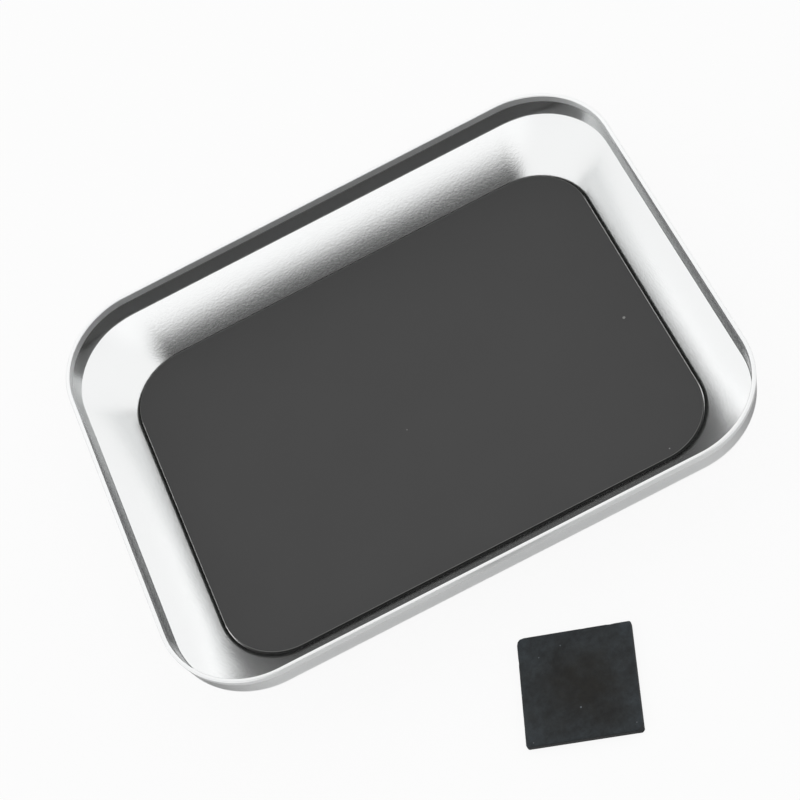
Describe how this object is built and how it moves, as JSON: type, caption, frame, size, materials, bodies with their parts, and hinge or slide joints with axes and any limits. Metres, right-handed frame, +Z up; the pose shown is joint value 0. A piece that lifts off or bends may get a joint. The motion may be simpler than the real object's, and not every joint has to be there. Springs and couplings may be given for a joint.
{
  "type": "magnetic parts tray",
  "caption": "Shallow rectangular aluminium tray with rounded corners, a flared wall and lip, a magnetic rubber sheet on its floor to hold screws, and a loose square ferrite plate.",
  "frame": {"origin": "middle of the tray's underside, on the surface that it stands on", "axes": "+X along the tray's long side, +Y along its short side away from the ferrite plate, +Z up"},
  "size_m": [0.12, 0.1298, 0.0142],
  "materials": {
    "anodised_aluminium": "pressed sheet, bead-blasted and clear anodised to a fine satin",
    "adhesive": "black cast acrylic film",
    "magnetic_rubber": "calendered sheet with die-cut edges",
    "matt_vinyl": "calendered matt face, laminated to the rubber",
    "sintered_ferrite": "pressed, sintered and left as fired"
  },
  "bodies": {
    "tray": {"tray_shell": "anodised_aluminium", "adhesive_film": "adhesive", "magnetic_sheet": "magnetic_rubber", "facing_film": "matt_vinyl"},
    "ferrite_plate": {"ferrite_plate": "sintered_ferrite"}
  },
  "joints": [
    {"name": "ferrite_plate_lift", "type": "slide", "parent": "tray", "child": "ferrite_plate", "axis": [0, 0, 1], "range_m": [0, 0.06]}
  ]
}
